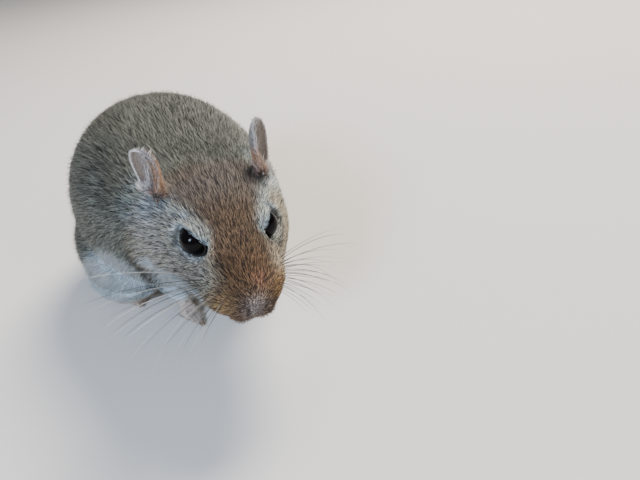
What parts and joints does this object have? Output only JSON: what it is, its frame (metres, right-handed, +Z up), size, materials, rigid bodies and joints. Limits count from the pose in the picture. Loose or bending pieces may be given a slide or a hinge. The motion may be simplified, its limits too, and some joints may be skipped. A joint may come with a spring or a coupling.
{
  "type": "gerbil",
  "caption": "Life-size still model of an agouti gerbil, crouching with its head lowered, one solid for each part of its body.",
  "frame": {"origin": "on the floor, at the middle of the box round the animal", "axes": "+Z up, +Y towards the tail, so the animal faces -Y and its left side is +X"},
  "size_m": [0.0774, 0.21, 0.0637],
  "materials": {
    "coat": "short dense fur, ticked grey-brown, pale below",
    "tail_coat": "short bristly fur, dark above, tufted end",
    "skin": "thin bare skin with fine down",
    "eye": "wet, glossy black"
  },
  "bodies": {
    "root": {"head": "coat", "neck": "coat", "torso": "coat", "foreleg_left": "coat", "foreleg_right": "coat", "hind_leg_left": "coat", "hind_leg_right": "coat", "tail_base": "tail_coat", "tail_middle": "tail_coat", "tail_tip": "tail_coat", "ear_left": "skin", "ear_right": "skin", "eye_left": "eye", "eye_right": "eye"}
  },
  "joints": []
}
